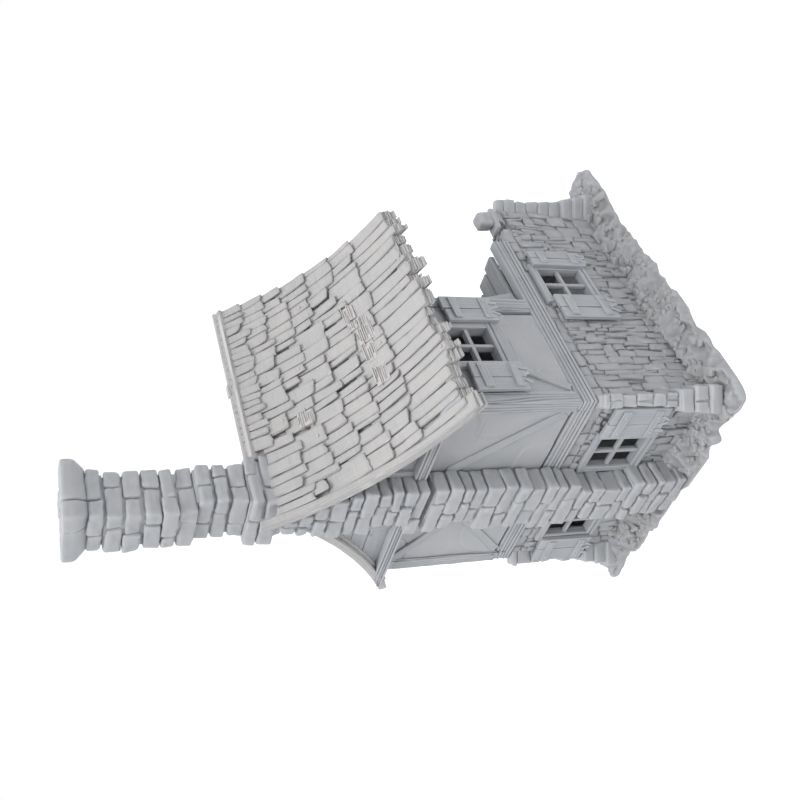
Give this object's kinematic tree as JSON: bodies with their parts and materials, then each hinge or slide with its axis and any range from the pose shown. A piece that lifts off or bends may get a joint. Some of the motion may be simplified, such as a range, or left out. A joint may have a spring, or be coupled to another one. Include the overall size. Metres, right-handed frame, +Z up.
{
  "type": "miniature terrain ruin",
  "caption": "Tabletop terrain ruin: a broken stone ground storey with a hinged door, a half-timbered upper storey, a shingled roof and a tall chimney stack that lift apart.",
  "frame": {"origin": "middle of the base's underside, where the piece stands on the table", "axes": "+Z up, +X along the house from the chimney gable to the broken end, +Y from the front wall to the back wall"},
  "size_m": [0.128, 0.101, 0.1944],
  "materials": {
    "stone": "matte, printed in fine layers",
    "timber": "matte, printed in fine layers",
    "plaster": "matte, printed in fine layers",
    "shingle": "matte, printed in fine layers",
    "turf": "matte, printed in fine layers",
    "iron": "matte, printed in fine layers"
  },
  "bodies": {
    "ground_storey": {"base_slab": "turf", "turf_bank": "turf", "floor_flags": "stone", "stone_wall_front": "stone", "stone_wall_back": "stone", "stone_wall_gable": "stone", "stone_wall_end": "stone", "corner_pier_near": "stone", "corner_pier_far": "stone", "corner_pier_end_front": "stone", "corner_pier_end_back": "stone", "wall_top_block": "stone", "chimney_breast_lower": "stone", "window_ground_front": "timber", "window_gable_near": "timber", "window_gable_far": "timber", "shutter_ground_left": "timber", "shutter_ground_right": "timber", "shutter_gable_near": "timber", "shutter_gable_far": "timber", "door_frame": "timber"},
    "door": {"door_boards": "timber", "door_strap_hinges": "iron", "door_ring": "iron"},
    "upper_storey": {"sill_beam_front": "timber", "sill_beam_back": "timber", "sill_beam_gable": "timber", "floor_joists": "timber", "floor_boards": "timber", "corner_posts_front": "timber", "corner_posts_back": "timber", "wall_plate_front": "timber", "wall_plate_back": "timber", "plaster_front": "plaster", "plaster_back": "plaster", "plaster_gable": "plaster", "plaster_end": "plaster", "braces_front": "timber", "braces_back": "timber", "braces_gable": "timber", "braces_end": "timber", "chimney_breast_middle": "stone", "window_upper_front": "timber", "window_upper_back": "timber", "shutter_upper_left": "timber", "shutter_upper_right": "timber", "raking_brace": "timber"},
    "roof": {"roof_slope_front": "shingle", "roof_slope_back": "shingle", "ridge_board": "timber", "barge_boards": "timber", "roof_trusses": "timber", "tie_beams": "timber", "gable_boards": "timber", "end_gable_boards": "timber", "chimney_breast_upper": "stone"},
    "chimney_stack": {"stack_courses": "stone", "chimney_cap": "stone"}
  },
  "joints": [
    {"name": "door_swing", "type": "hinge", "parent": "ground_storey", "child": "door", "pos_m": [0.0076, 0.042, 0], "axis": [0, 0, 1], "range_deg": [0, 110]},
    {"name": "upper_storey_lift", "type": "slide", "parent": "ground_storey", "child": "upper_storey", "axis": [0, 0, 1], "range_m": [0, 0.06]},
    {"name": "roof_lift", "type": "slide", "parent": "upper_storey", "child": "roof", "axis": [0, 0, 1], "range_m": [0, 0.06]},
    {"name": "chimney_stack_lift", "type": "slide", "parent": "roof", "child": "chimney_stack", "axis": [0, 0, 1], "range_m": [0, 0.04]}
  ]
}
